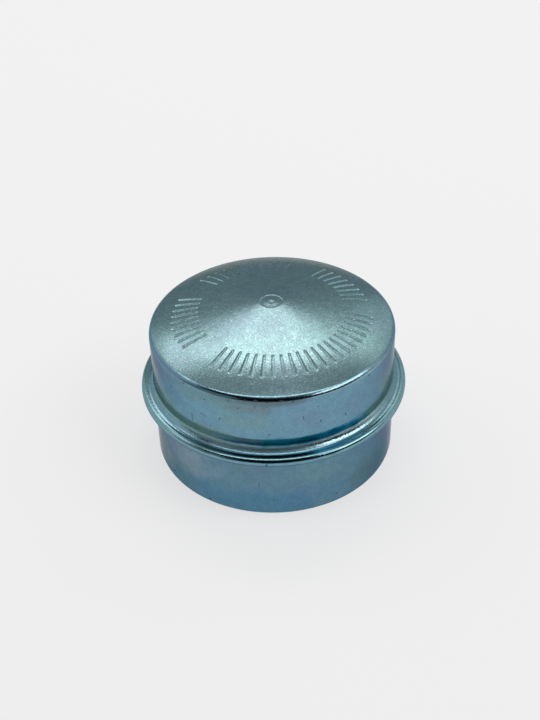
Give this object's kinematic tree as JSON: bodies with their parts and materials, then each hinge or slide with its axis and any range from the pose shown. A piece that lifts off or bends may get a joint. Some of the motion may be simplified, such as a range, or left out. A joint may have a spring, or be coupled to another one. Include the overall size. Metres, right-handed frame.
{
  "type": "hub grease cap",
  "caption": "Round press-in cap drawn from zinc-plated sheet steel, which closes the end of a trailer wheel's hub, keeps the grease in and keeps water and dirt out.",
  "frame": {"origin": "centre of the open mouth, on the plane of its cut edge", "axes": "+Z along the cap's axis of revolution, from the mouth to the crown; +X to the right in the picture's view and -Y towards the viewer"},
  "size_m": [0.0706, 0.0706, 0.0436],
  "materials": {
    "zinc_plate": "zinc plated and blue passivated, satin, with faint green and violet tints"
  },
  "bodies": {
    "root": {"hub_cap": "zinc_plate"}
  },
  "joints": []
}
